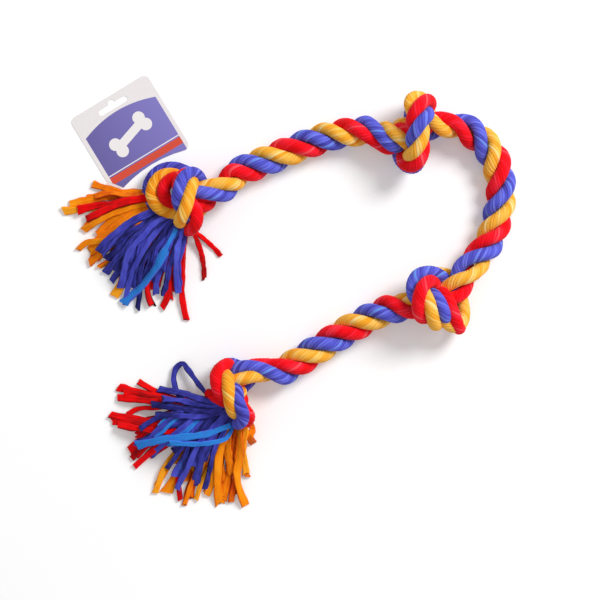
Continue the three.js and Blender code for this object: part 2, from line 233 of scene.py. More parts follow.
def rolled(bm: bmesh.types.BMesh, places: np.ndarray, tone: np.ndarray, lay: np.ndarray) -> None:
    """Rolls a grid up into a closed tube.

    Args:
        bm: the mesh that gets the tube, with its float layer "tone" and vector layer "lay".
        places: where each point goes, by ring and by side.
        tone: shade of each point, in the same order.
        lay: place of each point in the weave, in the same order.
    """
    rings, sides = tone.shape
    shade = bm.verts.layers.float["tone"]
    weave = bm.verts.layers.float_vector["lay"]
    grid = bmesh.ops.create_grid(bm, x_segments=sides, y_segments=rings - 1, size=1.0)["verts"]
    flat = np.array([vert.co for vert in grid])
    low = flat.min(axis=0)
    span = flat.max(axis=0) - low
    column = np.rint((flat[:, 0] - low[0]) / span[0] * sides).astype(int)
    row = np.rint((flat[:, 1] - low[1]) / span[1] * (rings - 1)).astype(int)
    seam = [vert for vert, side in zip(grid, column) if side in (0, sides)]
    ends = [vert for vert, ring in zip(grid, row) if ring in (0, rings - 1)]
    column %= sides
    points = zip(grid, places[row, column], tone[row, column], lay[row, column])
    for vert, place, value, thread in points:
        vert.co = place
        vert[shade] = value
        vert[weave] = thread
    bmesh.ops.remove_doubles(bm, verts=seam, dist=SEAM_WELD)
    rims = {edge for vert in ends if vert.is_valid for edge in vert.link_edges if edge.is_boundary}
    for edge in rims:
        edge.smooth = False
    bmesh.ops.holes_fill(bm, edges=list(rims), sides=0)


def woven_mesh() -> bmesh.types.BMesh:
    """Starts a mesh with the layers that the fabric finish reads.

    Returns:
        An empty mesh.
    """
    bm = bmesh.new()
    bm.verts.layers.float.new("tone")
    bm.verts.layers.float_vector.new("lay")
    return bm


def placed(bm: bmesh.types.BMesh, name: str, material: bpy.types.Material) -> bpy.types.Object:
    """Turns a mesh into an object of the scene.

    Args:
        bm: the finished mesh, which is used up.
        name: the object's name.
        material: its finish.
    Returns:
        The object.
    """
    bmesh.ops.recalc_face_normals(bm, faces=bm.faces[:])
    for face in bm.faces:
        face.smooth = True
    mesh = bpy.data.meshes.new(name)
    bm.to_mesh(mesh)
    bm.free()
    mesh.materials.append(material)
    piece = bpy.data.objects.new(name, mesh)
    bpy.context.scene.collection.objects.link(piece)
    LOG.info("%s: %d faces", name, len(mesh.polygons))
    return piece


def pivot_of(joint: str) -> Vector:
    """Finds a point on the axis of the joint of this name."""
    return Vector(next(row["pos_m"] for row in frame["joints"] if row["name"] == joint))


def apart(points: np.ndarray, place: np.ndarray) -> np.ndarray:
    """Measures how far each point lies from a place."""
    return np.linalg.norm(points - place, axis=1)


def unit(vectors: np.ndarray) -> np.ndarray:
    """Brings each vector to a length of 1."""
    return vectors / np.linalg.norm(vectors, axis=1)[:, None]


def smooth(values: np.ndarray) -> None:
    """Moves each inner value half way to the mean of its neighbours, in place."""
    values[1:-1] = 0.25 * values[:-2] + 0.5 * values[1:-1] + 0.25 * values[2:]


def last_part(share: np.ndarray, parts: int) -> np.ndarray:
    """Rises from 0 to 1 over the last of so many equal parts."""
    return np.clip(parts * share - (parts - 1), 0, 1)


def arc_lengths(points: np.ndarray) -> np.ndarray:
    """Measures along a line, from its first point to each."""
    return np.concatenate(([0.0], np.cumsum(np.linalg.norm(np.diff(points, axis=0), axis=1))))


def curved(points: np.ndarray, step: float, passes: int) -> np.ndarray:
    """Draws a smooth, evenly spaced line through points.

    Args:
        points: the points in order.
        step: the distance between the new points.
        passes: how often the new line is smoothed.
    Returns:
        The new points.
    """
    arc = arc_lengths(points)
    slope = np.gradient(points, arc, axis=0)
    fine = np.linspace(0, arc[-1], FINE_STEPS * len(points))
    left = np.clip(np.searchsorted(arc, fine, side="right") - 1, 0, len(points) - 2)
    width = (arc[left + 1] - arc[left])[:, None]
    part = (fine[:, None] - arc[left][:, None]) / width
    line = (
        (2 * part**3 - 3 * part**2 + 1) * points[left]
        + (part**3 - 2 * part**2 + part) * width * slope[left]
        + (3 * part**2 - 2 * part**3) * points[left + 1]
        + (part**3 - part**2) * width * slope[left + 1]
    )
    arc = arc_lengths(line)
    even = np.linspace(0, arc[-1], max(2, round(arc[-1] / step) + 1))
    line = np.stack([np.interp(even, arc, line[:, axis]) for axis in range(3)], axis=1)
    for _ in range(passes):
        smooth(line)
    return line


@dataclass(frozen=True)
class FabricFinish:
    """Matt cotton jersey of one colour, from the painted shade of its creases to its lightest strips."""

    colour: Colour
    deep: Rgba
    middle: Rgba
    light: Rgba
    accent: Rgba
    use: str = "strand"
    # How strongly the crease noise mottles the colour and paints shade into the creases
    crease_shade_and_mottle: float = 1.0
    ramp: tuple[float, ...] = (0.0, 0.4, 0.8, 1.0)
    roughness: float = 0.85
    crease_gloss: float = 0.15
    sheen: float = 0.06
    gloss: float = 0.1
    crease_scale: float = 1.0
    crease_detail: float = 3.0
    fuzz_scale: float = 7.0
    fuzz_detail: float = 2.0
    fuzz_share: float = 0.3
    bump: float = 0.8
    bump_depth: float = 1 * MM

    @staticmethod
    def noise(graph: Graph, lay: Wire, scale: float, detail: float) -> Wire:
        """Adds a noise that follows the weave."""
        return graph.node("ShaderNodeTexNoise", None, {"Vector": lay, "Scale": scale, "Detail": detail})

    def material(self) -> bpy.types.Material:
        """Builds the finish, which reads the points' tone, painted light and shade included, and their lay.

        Returns:
            The material.
        """
        graph = Graph(f"{self.colour.value}_{self.use}_jersey")
        tone = graph.node("ShaderNodeAttribute", {"attribute_name": "tone"}, None, "Fac")
        lay = graph.node("ShaderNodeAttribute", {"attribute_name": "lay"}, None, "Vector")
        crease = self.noise(graph, lay, self.crease_scale, self.crease_detail)
        # The crease noise mottles the colour at random and, as it also lowers the bump there, paints shade
        # into the creases
        shade = tone + (crease - 0.5) * self.crease_shade_and_mottle
        stops = tuple(zip(self.ramp, (self.deep, self.middle, self.light, self.accent)))
        fuzz = self.noise(graph, lay, self.fuzz_scale, self.fuzz_detail)
        relief = {
            "Strength": self.bump,
            "Distance": self.bump_depth,
            "Height": crease + fuzz * self.fuzz_share,
        }
        return graph.finish({
            "Base Color": graph.node("ShaderNodeValToRGB", {"stops": stops}, {"Fac": shade}),
            "Roughness": self.roughness - (1 - crease) * self.crease_gloss,
            "Sheen Weight": self.sheen,
            "Specular IOR Level": self.gloss,
            "Normal": graph.node("ShaderNodeBump", None, relief),
        })


@dataclass(frozen=True)
class KnotFit:
    """How a knot is drawn up in plan: its middle, shift and reach in millimetres, its stretch and turn."""

    middle: Plan
    shift: Plan
    stretch: Plan = (1.0, 1.0)
    degrees: float = 0.0
    inner: float = 30.0
    outer: float = 62.0

    def drawn_up(self, line: np.ndarray) -> np.ndarray:
        """Moves a centre line with the knot, fading out along the rope beside it.

        Args:
            line: points of the centre line.
        Returns:
            The moved points.
        """
        away = line[:, :2] / MM - np.array(self.middle)
        share = np.clip((self.outer - np.linalg.norm(away, axis=1)) / (self.outer - self.inner), 0, 1)
        share = share**2 * (3 - 2 * share)
        east, north = (away * np.array(self.stretch)).T
        cosine = math.cos(math.radians(self.degrees))
        sine = math.sin(math.radians(self.degrees))
        turned = np.column_stack((east * cosine - north * sine, east * sine + north * cosine))
        moved = line.copy()
        moved[:, :2] += share[:, None] * MM * (turned - away + np.array(self.shift))
        return moved


KNOT_FITS = (
    KnotFit((-102.5, 86), (8, -3.5), (1.1, 0.9)),
    KnotFit((124, 158), (-4, -9.5), (0.84, 1.12), 8.0, 28.0, 52.0),
    KnotFit((151, -6), (-5.5, -3), (1.0, 1.1)),
    KnotFit((162, -11.5), (-5, -9.5), (1.0, 1.0), -20.0, 8.0, 35.0),
    KnotFit((-48, -100), (-6, 0), (1.08, 1.0), 30.0, 22.0, 46.0),
    KnotFit((-29.5, -102), (-9, 0), (1.0, 1.0), 0.0, 6.0, 22.0),
)


def fitted(points: np.ndarray) -> np.ndarray:
    """Moves points with the knots that they lie in.

    Args:
        points: points of a centre line.
    Returns:
        The moved points.
    """
    for fit in KNOT_FITS:
        points = fit.drawn_up(points)
    return points


@dataclass(frozen=True)
class Pull:
    """One strand drawn aside: where on its length, over what length to either side, and how far."""

    colour: Colour
    along: float
    half: float
    shift: tuple[float, float, float]

    def offset(self, arc: np.ndarray) -> np.ndarray:
        """Finds the move of each point of the strand from its place along it."""
        share = np.cos(0.5 * np.pi * np.clip((arc / MM - self.along) / self.half, -1, 1)) ** 2
        return share[:, None] * MM * np.array(self.shift)


PULLS = (
    Pull(Colour.YELLOW, 628, 42, (-8, -3, 0)),
    Pull(Colour.YELLOW, 846, 32, (3, 6, 0)),
    Pull(Colour.YELLOW, 1288, 38, (5, -15, -2)),
    Pull(Colour.YELLOW, 1763, 32, (-14, 2, 0)),
    Pull(Colour.RED, 837, 30, (12, -4, 0)),
    Pull(Colour.RED, 1334, 34, (-7, -15, 0)),
    Pull(Colour.RED, 1891, 30, (-5, 12, 0)),
    Pull(Colour.BLUE, 898, 28, (-9, 6, 0)),
    Pull(Colour.BLUE, 1357, 32, (-7, 3, 0)),
    Pull(Colour.BLUE, 1812, 30, (4, -2, 0)),
)

# The strands' first ends, which make the left loop of the upper end knot
TUCKED_ENDS = {
    Colour.YELLOW: (
        (-100, 105, 20), (-113, 108.5, 20), (-122, 106, 20), (-128.5, 97.5, 21),
        (-129.5, 86.5, 23), (-123, 76.5, 27), (-110, 71.5, 28),
    ),
    Colour.RED: ((-98, 103, 24), (-110, 104.5, 25), (-117, 98, 26), (-118.5, 89, 28), (-112, 80.5, 30)),
    Colour.BLUE: (
        (-88, 104, 10), (-99, 111.5, 9), (-112, 115, 9), (-124, 111.5, 9), (-132.5, 101, 9),
        (-133.5, 89, 10), (-127, 77.5, 14), (-116, 72.5, 19),
    ),
}


@dataclass(frozen=True)
class Stretch:
    """One length of rope between two joined bodies, with the heading and half length of its bend."""

    name: str
    joint: str
    first: str
    last: str
    heading: tuple[float, float, float]
    half: float
    stations: tuple[str, ...]


STATIONS = (
    "upper_end_knot", "upper_span_left", "upper_span_right", "upper_mid_knot", "bend_upper",
    "bend_lower", "lower_mid_knot", "lower_span_right", "lower_span_left", "lower_end_knot",
)
SHARED_KNOTS = ("upper_mid_knot", "lower_mid_knot")
STRETCHES = (
    Stretch("upper", "upper_span_flex", "upper_end", "upper_mid", (0.93, 0.36, 0), 30 * MM, STATIONS[:4]),
    Stretch("bend", "bend_flex", "upper_mid", "lower_mid", (0, -1, 0), 17 * MM, STATIONS[4:7]),
    Stretch("lower", "lower_span_flex", "lower_mid", "lower_end", (-0.85, -0.53, 0), 30 * MM, STATIONS[7:]),
)


@dataclass
class Strand:
    """One fabric strand, from the upper tassel through the four knots to the lower one."""

    finish: FabricFinish
    seed: int
    radius: float = 6.3 * MM
    sides: int = 63
    step: float = 1.3 * MM
    passes: int = 8
    trim: float = 10 * MM
    tuck_search: int = 40
    tuck_gap: int = 4
    path_step: int = 3
    first_aside: tuple[float, float, float] = (0.3, 0.2, 0.9)
    strips: int = 9
    twist: float = 30 * MM
    groove: float = 0.06
    roundness: float = 0.6
    swell_waves: tuple[float, ...] = (0.021, 0.047, 0.09)
    swell_share: float = 0.025
    end_length: float = 8 * MM
    end_share: float = 0.7
    shades: Range = (0.3, 0.75)
    pale_shade: float = 0.95
    # Painted highlight on the swelling parts of each strip, and painted shade in the grooves between strips
    swell_highlight: float = 0.16
    groove_shade: float = 0.22
    end_darkening: float = 0.35
    end_darkening_length: float = 300 * MM
    weave_round: float = 5.0
    weave_length: float = 9 * MM
    weave_gap: float = 40.0

    def node(self, station: str) -> str:
        """Names the CAD node of this strand at a station."""
        return f"{self.finish.colour.value}_strand_{station}"

    def centres(self, station: str) -> np.ndarray:
        """Reads the centre line of a CAD tube off its rings.

        Args:
            station: which stretch of the strand.
        Returns:
            The centres of the rings in order, from either end.
        """
        bm = bmesh.new()
        bm.from_mesh(frame["nodes"][self.node(station)].data)
        bmesh.ops.remove_doubles(bm, verts=bm.verts[:], dist=TUBE_WELD)
        bmesh.ops.dissolve_limit(bm, angle_limit=TUBE_FLATNESS, verts=[], edges=bm.edges[:])
        cap = next(
            face
            for face in bm.faces
            if len(face.verts) == TUBE_SIDES and face.calc_center_median().z > TUBE_UNDERSIDE
        )
        ring = set(cap.verts)
        seen = set(ring)
        line = []
        while ring:
            line.append(np.mean([vert.co for vert in ring], axis=0))
            ring = {edge.other_vert(vert) for vert in ring for edge in vert.link_edges} - seen
            seen |= ring
        bm.free()
        return np.array(line)

    def route(self) -> tuple[np.ndarray, list[int]]:
        """Joins the centre lines of all nodes.

        Returns:
            The even centre line, and the numbers of its points that begin and end the three pieces.
        """
        lines = [self.centres(station) for station in STATIONS]
        if apart(lines[1], lines[0][0]).min() < apart(lines[1], lines[0][-1]).min():
            lines[0] = lines[0][::-1]
        for number in range(1, len(lines)):
            begin, end = apart(lines[number][[0, -1]], lines[number - 1][-1])
            if begin > end:
                lines[number] = lines[number][::-1]
        joined = [lines[0][0]]
        for line in lines:
            joined.extend(line[1:-1])
        joined.append(lines[-1][-1])
        line = fitted(curved(np.array(joined), self.step, self.passes))
        drop = round(self.trim / self.step)
        line = line[drop:-drop]
        tuck = np.array(TUCKED_ENDS[self.finish.colour]) * MM
        meeting = int(apart(line[: self.tuck_search], tuck[-1]).argmin()) + self.tuck_gap
        line = curved(np.vstack((tuck, line[meeting:])), self.step, self.passes)
        arc = arc_lengths(line)
        line = line + sum(pull.offset(arc) for pull in PULLS if pull.colour is self.finish.colour)
        cuts = [0]
        for station in SHARED_KNOTS:
            knot = fitted(lines[STATIONS.index(station)])
            cuts.append(int(apart(line, knot[len(knot) // 2]).argmin()))
        return line, [*cuts, len(line) - 1]

    def asides(self, line: np.ndarray) -> tuple[np.ndarray, np.ndarray]:
        """Carries two directions square to the centre line along it, without twist.

        Args:
            line: the centre line.
        Returns:
            Both directions at each point.
        """
        along = unit(np.gradient(line, axis=0))
        side = np.empty_like(line)
        side[0] = np.cross(along[0], self.first_aside)
        for number in range(len(line)):
            carried = side[max(number - 1, 0)]
            carried = carried - along[number] * carried.dot(along[number])
            side[number] = carried / np.linalg.norm(carried)
        return side, np.cross(along, side)

    def rings(self, line: np.ndarray) -> tuple[np.ndarray, np.ndarray, np.ndarray]:
        """Lays twisted strips round the centre line.

        Args:
            line: the centre line.
        Returns:
            The places, tones and lays of the points, by ring and side.
        """
        rng = np.random.default_rng(self.seed)
        arc = arc_lengths(line)
        from_end = np.minimum(arc, arc[-1] - arc)
        side, other = self.asides(line)
        column = np.arange(self.sides) / self.sides
        angle = 2 * np.pi * (column[None, :] - arc[:, None] / self.twist)
        strip = (column * self.strips).astype(int)
        dip = 1 - np.sin(np.pi * ((column * self.strips) % 1.0))[None, :] ** self.roundness
        swell = np.zeros((len(line), self.strips))
        for wave in self.swell_waves:
            phase = rng.uniform(0, 2 * np.pi, self.strips)
            swell += np.sin(2 * np.pi * arc[:, None] / wave + phase) / len(self.swell_waves)
        swell = swell[:, strip]
        radius = self.radius * (1 - self.groove * dip + self.swell_share * swell)
        filled = self.end_share + (1 - self.end_share) * np.clip(from_end / self.end_length, 0, 1)
        radius *= filled[:, None]
        places = line[:, None, :] + radius[..., None] * (
            np.cos(angle)[..., None] * side[:, None, :] + np.sin(angle)[..., None] * other[:, None, :]
        )
        places[..., 2] = np.maximum(places[..., 2], FLOOR_GAP)
        shades = rng.uniform(*self.shades, self.strips)
        shades[rng.integers(self.strips)] = self.pale_shade
        # The strand is darker towards both of its ends
        near_end = 1 - np.clip(from_end / self.end_darkening_length, 0, 1)
        # Painted light: strips are painted lighter where they swell out, as a highlight, and darker in the
        # grooves between them, as shade
        tone = shades[strip][None, :] + self.swell_highlight * swell - self.groove_shade * dip
        tone -= self.end_darkening * near_end[:, None]
        lay = np.empty(places.shape)
        lay[..., 0] = self.weave_round * np.cos(2 * np.pi * column)[None, :]
        lay[..., 1] = self.weave_round * np.sin(2 * np.pi * column)[None, :]
        lay[..., 2] = arc[:, None] / self.weave_length + self.weave_gap * self.seed
        return places, tone, lay

    def build(self) -> None:
        """Makes the strand as three pieces, each bending with one of the rope's joints."""
        line, cuts = self.route()
        places, tone, lay = self.rings(line)
        material = self.finish.material()
        colour = self.finish.colour.value
        for stretch, first, last in zip(STRETCHES, cuts, cuts[1:]):
            kept = slice(first, last + 1)
            bm = woven_mesh()
            rolled(bm, places[kept], tone[kept], lay[kept])
            piece = placed(bm, f"{colour}_rope_{stretch.name}", material)
            pivot = pivot_of(stretch.joint)
            reach = Vector(stretch.heading).normalized() * stretch.half
            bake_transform(piece, stretch.first, stretch.last, pivot - reach, pivot + reach)
            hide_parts(*(self.node(station) for station in stretch.stations))
            2 * self.radius


@dataclass(frozen=True)
class Strip:
    """One jersey strip of a tassel: its colour and where its tip lies from the tassel's fan point."""

    colour: Colour
    degrees: float
    reach: float


@dataclass(frozen=True)
class LooseStrip:
    """A strip with a line of its own, by the points that it passes in plan, in millimetres."""

    colour: Colour
    points: tuple[Plan, ...]
    width: float = 5.4
    shade: float = 0.4
    under: bool = False


@dataclass(frozen=True)
class Filling:
    """Strips that lie below the measured ones: from which angle to which, and how many."""

    first: float
    last: float
    count: int


@dataclass(frozen=True)
class StripCut:
    """How jersey strips are cut and curl: lengths in millimetres, the rest in shares, counts or radians."""

    breadths: Range = (4.4, 6.4)
    wide_breadths: Range = (7.6, 9.0)
    wide_from: float = 7.5
    wide_share: float = 0.16
    thicknesses: Range = (3.6, 4.8)
    wide_thicknesses: Range = (2.8, 3.4)
    neck: float = 0.7
    neck_parts: int = 3
    ripple: float = 0.1
    ripples: Range = (2, 5)
    flares: Range = (0, 0.3)
    flare_parts: int = 5
    slants: Range = (-0.5, 0.5)
    notches: Range = (-0.6, 0.9)
    cut_parts: int = 7
    roots: Range = (4, 9)
    high_roots: Range = (10, 16)
    tilt: float = 0.2
    curl: float = 0.4
    curls: Range = (0.6, 2.0)
    sway: float = 1.2
    sways: Range = (1, 2.4)
    edge_power: float = 0.8
    face_power: float = 0.9
    valley: float = 0.35
    crumple: float = 0.035
    crumples: tuple[tuple[float, int], ...] = ((3.1, 1), (5.3, 2), (8.7, 1))
    shades: Range = (0.25, 0.85)
    accent_share: float = 0.12
    accent_shade: float = 1.25
    drift: float = 0.1
    drifts: float = 1.7
    # Painted shade in each strip's valley and along its edges, where strips lie against each other
    valley_shade: float = 0.18
    rim_shade: float = 0.6
    rim_shade_falloff: int = 6
    weave_width: float = 2.2
    weave_length: float = 9
    weave_reach: float = 400

    def section(self, turn: np.ndarray, wide: bool) -> tuple[np.ndarray, np.ndarray, np.ndarray]:
        """Draws a strip's section: a flat oval with one valley along it, or two on a wide strip.

        Args:
            turn: the angle of each point round the section.
            wide: whether the strip is a wide one.
        Returns:
            Each point's place across and its height, from -1 to 1, and how deep in a valley it lies.
        """
        across = np.sign(np.cos(turn)) * np.abs(np.cos(turn)) ** self.edge_power
        valleys = 2 if wide else 1
        deep = 0.5 - 0.5 * np.cos(np.pi * valleys * (across + 1))
        height = np.sign(np.sin(turn)) * np.abs(np.sin(turn)) ** self.face_power
        return across, height * (1 - self.valley * deep), deep


@dataclass
class Tassel:
    """The opened end of the rope: jersey strips that spread from a knot and lie on each other."""

    name: str
    knot_body: str
    fan: Plan
    apex: Plan
    start: float
    strips: tuple[Strip, ...]
    loose: tuple[LooseStrip, ...]
    fillings: Mapping[Colour, Filling]
    seed: int
    cut: StripCut = StripCut()
    steps: int = 40
    sides: int = 20
    rest: float = 0.9 * MM
    cell: float = 1 * MM
    map_cells: int = 320
    prints: int = 9
    print_share: float = 0.45
    pressed: float = 0.16
    loosening: float = 0.3
    pressed_length: float = 55 * MM
    fall: float = 1.6
    smoothing: int = 70
    holding: int = 45
    droop: float = 14.0
    droop_spread: float = 10.0
    drawn_fineness: int = 4
    drawn_passes: int = 12
    spare_spread: float = 6.0
    spare_reach: Range = (0.6, 0.97)
    blend_before: float = 10 * MM
    blend_after: float = 30 * MM

    def __post_init__(self) -> None:
        """Starts the height map and the source of small differences."""
        self.ground = np.full((self.map_cells, self.map_cells), self.rest)
        self.rng = np.random.default_rng(self.seed)

    def cells(self, points: np.ndarray) -> tuple[np.ndarray, np.ndarray]:
        """Finds the height map's cells under points.

        Args:
            points: places, with x and y first.
        Returns:
            The cells' rows and columns.
        """
        corner = np.array(self.fan) - 0.5 * self.cell * self.map_cells
        cell = np.clip(((points[..., :2] - corner) / self.cell).astype(int), 0, self.map_cells - 1)
        return cell[..., 0], cell[..., 1]

    def laid(
        self,
        flat: np.ndarray,
        across: np.ndarray,
        width: np.ndarray,
        thick: float,
        root: float,
    ) -> np.ndarray:
        """Lays a strip over what lies there already; near the knot the strips are pressed together.

        Args:
            flat: the strip's line in plan.
            across: unit vectors across it.
            width: its width at each point.
            thick: its thickness.
            root: the least height of its first point.
        Returns:
            The height of its middle at each point.
        """
        reach = np.linspace(-self.print_share, self.print_share, self.prints)
        prints = flat[:, None, :] + (reach[None, :] * width[:, None])[..., None] * across[:, None, :]
        rows, columns = self.cells(prints)
        away = apart(flat, np.array(self.apex)) - self.start
        layer = thick * (self.pressed + self.loosening * np.clip(away / self.pressed_length, 0, 1))
        least = self.ground[rows, columns].max(axis=1) + 0.5 * layer
        height = np.maximum(least, root * np.linspace(1, 0, len(flat)) ** self.fall)
        for number in range(self.smoothing):
            smooth(height)
            if number < self.holding:
                height = np.maximum(height, least)
        top = np.repeat((height + 0.5 * layer)[:, None], self.prints, axis=1)
        np.maximum.at(self.ground, (rows, columns), top)
        return height

    def fanned(self, strip: Strip) -> np.ndarray:
        """Draws the line of a strip in plan: out of the knot, then drooping to its tip.

        Args:
            strip: the strip.
        Returns:
            The line's points.
        """
        turn = math.radians(strip.degrees)
        tip = np.array(self.fan) + strip.reach * MM * np.array((math.cos(turn), math.sin(turn)))
        apex = np.array(self.apex)
        heading = (tip - apex) / np.linalg.norm(tip - apex)
        square = np.array((-heading[1], heading[0]))
        bend = math.radians(-self.droop + self.rng.normal(0, self.droop_spread))
        leaving = heading * math.cos(bend) + square * math.sin(bend)
        begin = apex + heading * self.start
        middle = begin + leaving * 0.5 * np.linalg.norm(tip - begin)
        share = np.linspace(0, 1, self.steps)
        line = (
            ((1 - share) ** 2)[:, None] * begin
            + (2 * share * (1 - share))[:, None] * middle
            + (share**2)[:, None] * tip
        )
        sway = self.rng.normal(0, self.cut.sway) * MM
        waves = share * self.rng.uniform(*self.cut.sways) + self.rng.random()
        sway = sway * np.sin(2 * np.pi * waves) * np.minimum(1, self.cut.neck_parts * share)
        return line + sway[:, None] * square

    def add(
        self,
        bm: bmesh.types.BMesh,
        colour: Colour,
        flat: np.ndarray,
        breadth: float | None = None,
        shade: float | None = None,
    ) -> None:
        """Adds one strip to the mesh of its colour.

        Args:
            bm: the mesh.
            colour: its colour.
            flat: its line in plan.
            breadth: its width in millimetres, or none for a width by chance.
            shade: its tone, or none for a tone by chance.
        """
        rng = self.rng
        cut = self.cut
        share = np.linspace(0, 1, self.steps)
        direction = unit(np.gradient(flat, axis=0))
        across = np.stack((-direction[:, 1], direction[:, 0]), axis=1)
        if breadth is None:
            breadth = rng.uniform(*(cut.wide_breadths if rng.random() < cut.wide_share else cut.breadths))
        if shade is None:
            shade = rng.uniform(*cut.shades) if rng.random() > cut.accent_share else cut.accent_shade
        wide = breadth > cut.wide_from
        thick = rng.uniform(*(cut.wide_thicknesses if wide else cut.thicknesses)) * MM
        width = breadth * MM * (cut.neck + (1 - cut.neck) * np.minimum(1, cut.neck_parts * share))
        width *= 1 + cut.ripple * np.sin(2 * np.pi * (share * rng.uniform(*cut.ripples) + rng.random()))
        width *= 1 + rng.uniform(*cut.flares) * last_part(share, cut.flare_parts)
        root = rng.uniform(*(cut.high_roots if colour is Colour.BLUE else cut.roots)) * MM
        height = self.laid(flat, across, width, thick, root)
        middle = np.column_stack((flat, height))
        tilt = rng.normal(0, cut.tilt)
        curl = rng.normal(0, cut.curl)
        roll = tilt + curl * np.sin(np.pi * (share * rng.uniform(*cut.curls) + rng.random()))
        along = unit(np.gradient(middle, axis=0))
        level = np.column_stack((across, np.zeros(self.steps)))
        side = np.cos(roll)[:, None] * level + np.sin(roll)[:, None] * np.cross(along, level)
        rise = np.cross(along, side)
        turn = 2 * np.pi * np.arange(self.sides) / self.sides
        section_x, section_z, valley = cut.section(turn, wide)
        crumple = np.zeros((self.steps, self.sides))
        for folds, lean in cut.crumples:
            phase = 2 * np.pi * (folds * share[:, None] + rng.random())
            crumple += cut.crumple * np.sin(phase + lean * turn[None, :])
        slant = rng.uniform(*cut.slants)
        notch = max(0.0, rng.uniform(*cut.notches))
        ending = (width * last_part(share, cut.cut_parts))[:, None]
        snip = (slant * section_x + notch * np.abs(section_x))[None, :]
        places = (
            middle[:, None, :]
            + (0.5 * width[:, None] * section_x[None, :] * (1 + crumple))[..., None] * side[:, None, :]
            + (0.5 * thick * section_z[None, :] * (1 + 2 * crumple))[..., None] * rise[:, None, :]
            + (0.5 * ending * snip)[..., None] * along[:, None, :]
        )
        places[..., 2] = np.maximum(places[..., 2], self.rest)
        drift = cut.drift * np.sin(2 * np.pi * (share * cut.drifts + rng.random()))
        # Painted shade in the strip's valley and at its edges; the crumple also paints the bulges lighter
        # and the folds darker
        painted_shade = cut.valley_shade * valley + cut.rim_shade * np.abs(section_x) ** cut.rim_shade_falloff
        tone = shade + drift[:, None] - painted_shade[None, :] + crumple
        lay = np.empty(places.shape)
        lay[..., 0] = section_x[None, :] * width[:, None] / (cut.weave_width * MM)
        lay[..., 1] = (arc_lengths(middle) / (cut.weave_length * MM))[:, None]
        lay[..., 2] = rng.uniform(0, cut.weave_reach)
        rolled(bm, places, tone, lay)

    def drawn(self, strip: LooseStrip) -> np.ndarray:
        """Draws the line of a loose strip in plan.

        Args:
            strip: the strip.
        Returns:
            The line's points.
        """
        points = np.array([(x * MM, y * MM, 0.0) for x, y in strip.points])
        step = arc_lengths(points)[-1] / (self.drawn_fineness * self.steps)
        line = curved(points, step, self.drawn_passes)
        pick = np.rint(np.linspace(0, len(line) - 1, self.steps)).astype(int)
        return line[pick, :2]

    def spare(self, colour: Colour) -> list[Strip]:
        """Chooses the strips that lie hidden below the ones with a measured tip.

        Args:
            colour: their colour.
        Returns:
            The strips.
        """
        known = sorted((strip.degrees, strip.reach) for strip in self.strips if strip.colour is colour)
        angles, reaches = zip(*known)
        filling = self.fillings[colour]
        chosen = []
        for degrees in np.linspace(filling.first, filling.last, filling.count):
            near = np.interp(degrees, angles, reaches)
            turned = degrees + self.rng.uniform(-self.spare_spread, self.spare_spread)
            chosen.append(Strip(colour, turned, near * self.rng.uniform(*self.spare_reach)))
        return chosen

    def hang(self, bm: bmesh.types.BMesh, colour: Colour, under: bool) -> None:
        """Adds the loose strips of one colour that lie under, or over, its other strips.

        Args:
            bm: the mesh.
            colour: the colour.
            under: whether to take those that lie under.
        """
        for strip in self.loose:
            if strip.colour is colour and strip.under is under:
                self.add(bm, colour, self.drawn(strip), strip.width, strip.shade)

    def build(self, finishes: Mapping[Colour, FabricFinish]) -> None:
        """Makes the strips, one piece for each colour.

        Args:
            finishes: the fabric of each colour.
        """
        meshes = {colour: woven_mesh() for colour in Colour}
        for colour, bm in meshes.items():
            known = [strip for strip in self.strips if strip.colour is colour]
            self.hang(bm, colour, under=True)
            for strip in (*self.spare(colour), *known):
                self.add(bm, colour, self.fanned(strip))
            self.hang(bm, colour, under=False)
        pivot = pivot_of(f"{self.name}_tassel_sway")
        out = Vector((*self.fan, pivot.z)) - Vector((*self.apex, pivot.z))
        out.normalize()
        start = pivot - out * self.blend_before
        end = pivot + out * self.blend_after
        for colour, bm in meshes.items():
            piece = placed(bm, f"{colour.value}_strips_{self.name}", finishes[colour].material())
            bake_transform(piece, self.knot_body, f"{self.name}_tassel", start, end)
            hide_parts(f"{colour.value}_tassel_{self.name}")


def tips(colour: Colour, *places: Plan) -> tuple[Strip, ...]:
    """Lists strips of one colour by their tips' angles and distances from the fan point."""
    return tuple(Strip(colour, degrees, reach) for degrees, reach in places)


